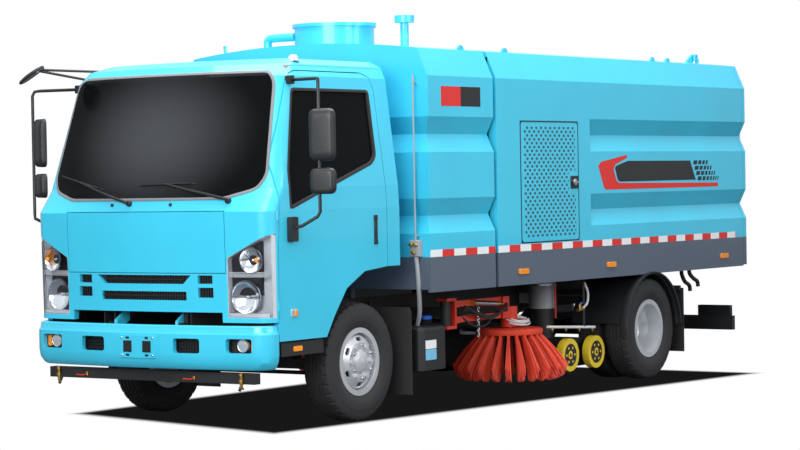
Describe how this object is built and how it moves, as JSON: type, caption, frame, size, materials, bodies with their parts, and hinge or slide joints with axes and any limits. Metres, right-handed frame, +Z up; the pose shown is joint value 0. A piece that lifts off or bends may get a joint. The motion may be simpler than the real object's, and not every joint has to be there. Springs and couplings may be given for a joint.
{
  "type": "street sweeper truck",
  "caption": "Blue street sweeper truck with a tilting cab, fluted tipping hopper, red side brushes and a suction nozzle between the axles.",
  "frame": {"origin": "on the ground, half way along and half way across the truck", "axes": "+X forward, +Y to the truck's left, +Z up"},
  "size_m": [6.7, 2.69, 2.79],
  "materials": {
    "blue_paint": "gloss",
    "frame_black": "satin",
    "black_plastic": "matte",
    "tyre_rubber": "matte",
    "rim_silver": "satin",
    "glass": "gloss",
    "lamp": "gloss",
    "seat_fabric": "matte",
    "arm_red": "satin",
    "brush_bristle": "matte",
    "wheel_yellow": "satin",
    "steel": "satin",
    "grey_duct": "satin",
    "cast_iron": "matte",
    "spring_steel": "matte"
  },
  "bodies": {
    "chassis": {"chassis_frame": "frame_black", "front_axle": "cast_iron", "rear_axle": "cast_iron", "leaf_springs": "spring_steel", "engine_block": "cast_iron", "drive_shaft": "frame_black", "urea_tank": "black_plastic", "fuel_tank": "rim_silver", "front_bumper": "blue_paint", "spray_bar": "frame_black", "water_tank": "blue_paint", "suction_ducts": "grey_duct", "rear_fenders": "black_plastic", "under_run_bar": "frame_black", "mudflaps": "black_plastic"},
    "cab": {"cab_shell": "blue_paint", "windscreen": "glass", "headlamps": "lamp", "seats": "seat_fabric", "dashboard": "black_plastic"},
    "front_panel": {"front_panel": "blue_paint"},
    "hatch": {"hatch_lid": "blue_paint"},
    "hopper": {"hopper": "blue_paint"},
    "service_door": {"service_door": "blue_paint"},
    "rear_door": {"rear_door": "blue_paint"},
    "cylinder_barrels": {"tip_cylinder_barrels": "arm_red"},
    "cylinder_rods": {"tip_cylinder_rods": "steel"},
    "tie_rod": {"tie_rod": "steel"},
    "suction_nozzle": {"suction_nozzle": "frame_black"},
    "nozzle_wheels_front": {"nozzle_wheels_front": "wheel_yellow"},
    "nozzle_wheels_rear": {"nozzle_wheels_rear": "wheel_yellow"},
    "cab_door_left": {"cab_door_left": "blue_paint", "door_glass_left": "glass", "mirrors_left": "black_plastic"},
    "knuckle_left": {"knuckle_left": "cast_iron"},
    "front_wheel_left": {"front_rim_left": "rim_silver", "front_tyre_left": "tyre_rubber"},
    "rear_wheels_left": {"rear_rims_left": "rim_silver", "rear_tyres_left": "tyre_rubber"},
    "brush_bracket_left": {"brush_bracket_left": "arm_red"},
    "brush_upper_arm_left": {"brush_upper_arm_left": "arm_red"},
    "brush_lower_arm_left": {"brush_lower_arm_left": "arm_red"},
    "brush_carrier_left": {"brush_carrier_left": "arm_red"},
    "side_brush_left": {"side_brush_left": "brush_bristle"},
    "cab_door_right": {"cab_door_right": "blue_paint", "door_glass_right": "glass", "mirrors_right": "black_plastic"},
    "knuckle_right": {"knuckle_right": "cast_iron"},
    "front_wheel_right": {"front_rim_right": "rim_silver", "front_tyre_right": "tyre_rubber"},
    "rear_wheels_right": {"rear_rims_right": "rim_silver", "rear_tyres_right": "tyre_rubber"},
    "brush_bracket_right": {"brush_bracket_right": "arm_red"},
    "brush_upper_arm_right": {"brush_upper_arm_right": "arm_red"},
    "brush_lower_arm_right": {"brush_lower_arm_right": "arm_red"},
    "brush_carrier_right": {"brush_carrier_right": "arm_red"},
    "side_brush_right": {"side_brush_right": "brush_bristle"}
  },
  "joints": [
    {"name": "cab_tilt", "type": "hinge", "parent": "chassis", "child": "cab", "pos_m": [3.245, 0, 0.69], "axis": [0, 1, 0], "range_deg": [0, 45]},
    {"name": "front_panel_open", "type": "hinge", "parent": "cab", "child": "front_panel", "pos_m": [3.3, 0, 1.447], "axis": [0, -1, 0], "range_deg": [0, 75]},
    {"name": "hatch_open", "type": "hinge", "parent": "chassis", "child": "hatch", "pos_m": [1.089, 0.318, 2.7403], "axis": [-1, 0, 0], "range_deg": [0, 100]},
    {"name": "hopper_tip", "type": "hinge", "parent": "chassis", "child": "hopper", "pos_m": [-3.065, 0, 0.83], "axis": [0, -1, 0], "range_deg": [0, 45]},
    {"name": "rear_door_open", "type": "hinge", "parent": "hopper", "child": "rear_door", "pos_m": [-3.29, 0, 2.632], "axis": [0, 1, 0], "range_deg": [0, 80]},
    {"name": "service_door_open", "type": "hinge", "parent": "hopper", "child": "service_door", "pos_m": [0.287, 1.08, 1.6], "axis": [0, 0, -1], "range_deg": [0, 100]},
    {"name": "barrel_pivot", "type": "hinge", "parent": "chassis", "child": "cylinder_barrels", "pos_m": [-2.165, 0, 0.62], "axis": [0, -1, 0], "range_deg": [0, 61.01]},
    {"name": "rod_slide", "type": "slide", "parent": "cylinder_barrels", "child": "cylinder_rods", "axis": [0.9877, 0, 0.1565], "range_m": [0, 0.5676]},
    {"name": "door_left_open", "type": "hinge", "parent": "cab", "child": "cab_door_left", "pos_m": [3.121, 0.997, 1.4], "axis": [0, 0, -1], "range_deg": [0, 70]},
    {"name": "steer_left", "type": "hinge", "parent": "chassis", "child": "knuckle_left", "pos_m": [2.135, 0.74, 0.4025], "axis": [0, 0, 1], "range_deg": [-35, 35]},
    {"name": "front_wheel_left_spin", "type": "hinge", "parent": "knuckle_left", "child": "front_wheel_left", "pos_m": [2.135, 0.834, 0.4025], "axis": [0, 1, 0], "continuous": true},
    {"name": "rear_wheels_left_spin", "type": "hinge", "parent": "chassis", "child": "rear_wheels_left", "pos_m": [-1.68, 0.83, 0.4025], "axis": [0, 1, 0], "continuous": true},
    {"name": "brush_swing_left", "type": "hinge", "parent": "chassis", "child": "brush_bracket_left", "pos_m": [0.805, 0.74, 0.65], "axis": [0, 0, -1], "range_deg": [0, 22]},
    {"name": "brush_lower_left", "type": "hinge", "parent": "brush_bracket_left", "child": "brush_upper_arm_left", "pos_m": [0.695, 0.74, 0.715], "axis": [0, -1, 0], "range_deg": [0, 9]},
    {"name": "brush_lower_arm_left", "type": "hinge", "parent": "brush_bracket_left", "child": "brush_lower_arm_left", "pos_m": [0.695, 0.74, 0.6], "axis": [0, -1, 0], "range_deg": [0, 9]},
    {"name": "brush_level_left", "type": "hinge", "parent": "brush_upper_arm_left", "child": "brush_carrier_left", "pos_m": [0.055, 0.74, 0.715], "axis": [0, -1, 0], "range_deg": [-9, 0]},
    {"name": "side_brush_left_spin", "type": "hinge", "parent": "brush_carrier_left", "child": "side_brush_left", "pos_m": [-0.065, 0.74, 0.474], "axis": [0, 0, 1], "continuous": true},
    {"name": "door_right_open", "type": "hinge", "parent": "cab", "child": "cab_door_right", "pos_m": [3.121, -0.997, 1.4], "axis": [0, 0, 1], "range_deg": [0, 70]},
    {"name": "steer_right", "type": "hinge", "parent": "chassis", "child": "knuckle_right", "pos_m": [2.135, -0.74, 0.4025], "axis": [0, 0, 1], "range_deg": [-35, 35]},
    {"name": "front_wheel_right_spin", "type": "hinge", "parent": "knuckle_right", "child": "front_wheel_right", "pos_m": [2.135, -0.834, 0.4025], "axis": [0, 1, 0], "continuous": true},
    {"name": "rear_wheels_right_spin", "type": "hinge", "parent": "chassis", "child": "rear_wheels_right", "pos_m": [-1.68, -0.83, 0.4025], "axis": [0, 1, 0], "continuous": true},
    {"name": "brush_swing_right", "type": "hinge", "parent": "chassis", "child": "brush_bracket_right", "pos_m": [0.805, -0.74, 0.65], "axis": [0, 0, 1], "range_deg": [0, 22]},
    {"name": "brush_lower_right", "type": "hinge", "parent": "brush_bracket_right", "child": "brush_upper_arm_right", "pos_m": [0.695, -0.74, 0.715], "axis": [0, -1, 0], "range_deg": [0, 9]},
    {"name": "brush_lower_arm_right", "type": "hinge", "parent": "brush_bracket_right", "child": "brush_lower_arm_right", "pos_m": [0.695, -0.74, 0.6], "axis": [0, -1, 0], "range_deg": [0, 9]},
    {"name": "brush_level_right", "type": "hinge", "parent": "brush_upper_arm_right", "child": "brush_carrier_right", "pos_m": [0.055, -0.74, 0.715], "axis": [0, -1, 0], "range_deg": [-9, 0]},
    {"name": "side_brush_right_spin", "type": "hinge", "parent": "brush_carrier_right", "child": "side_brush_right", "pos_m": [-0.065, -0.74, 0.474], "axis": [0, 0, 1], "continuous": true},
    {"name": "tie_rod_pivot", "type": "hinge", "parent": "knuckle_left", "child": "tie_rod", "pos_m": [2.015, 0.74, 0.3025], "axis": [0, 0, 1], "range_deg": [-35, 35]},
    {"name": "nozzle_lower", "type": "slide", "parent": "chassis", "child": "suction_nozzle", "axis": [0, 0, -1], "range_m": [0, 0.125]},
    {"name": "nozzle_wheels_front_spin", "type": "hinge", "parent": "suction_nozzle", "child": "nozzle_wheels_front", "pos_m": [-0.643, 0, 0.256], "axis": [0, 1, 0], "continuous": true},
    {"name": "nozzle_wheels_rear_spin", "type": "hinge", "parent": "suction_nozzle", "child": "nozzle_wheels_rear", "pos_m": [-1.037, 0, 0.256], "axis": [0, 1, 0], "continuous": true}
  ],
  "couplings": [
    {"joint": "barrel_pivot", "follows": "hopper_tip", "ratio": 1.3447},
    {"joint": "rod_slide", "follows": "hopper_tip", "m_per_rad": 0.72008},
    {"joint": "steer_right", "follows": "steer_left", "ratio": 1},
    {"joint": "tie_rod_pivot", "follows": "steer_left", "ratio": -1},
    {"joint": "brush_lower_arm_left", "follows": "brush_lower_left", "ratio": 1},
    {"joint": "brush_level_left", "follows": "brush_lower_left", "ratio": -1},
    {"joint": "brush_lower_arm_right", "follows": "brush_lower_right", "ratio": 1},
    {"joint": "brush_level_right", "follows": "brush_lower_right", "ratio": -1}
  ]
}
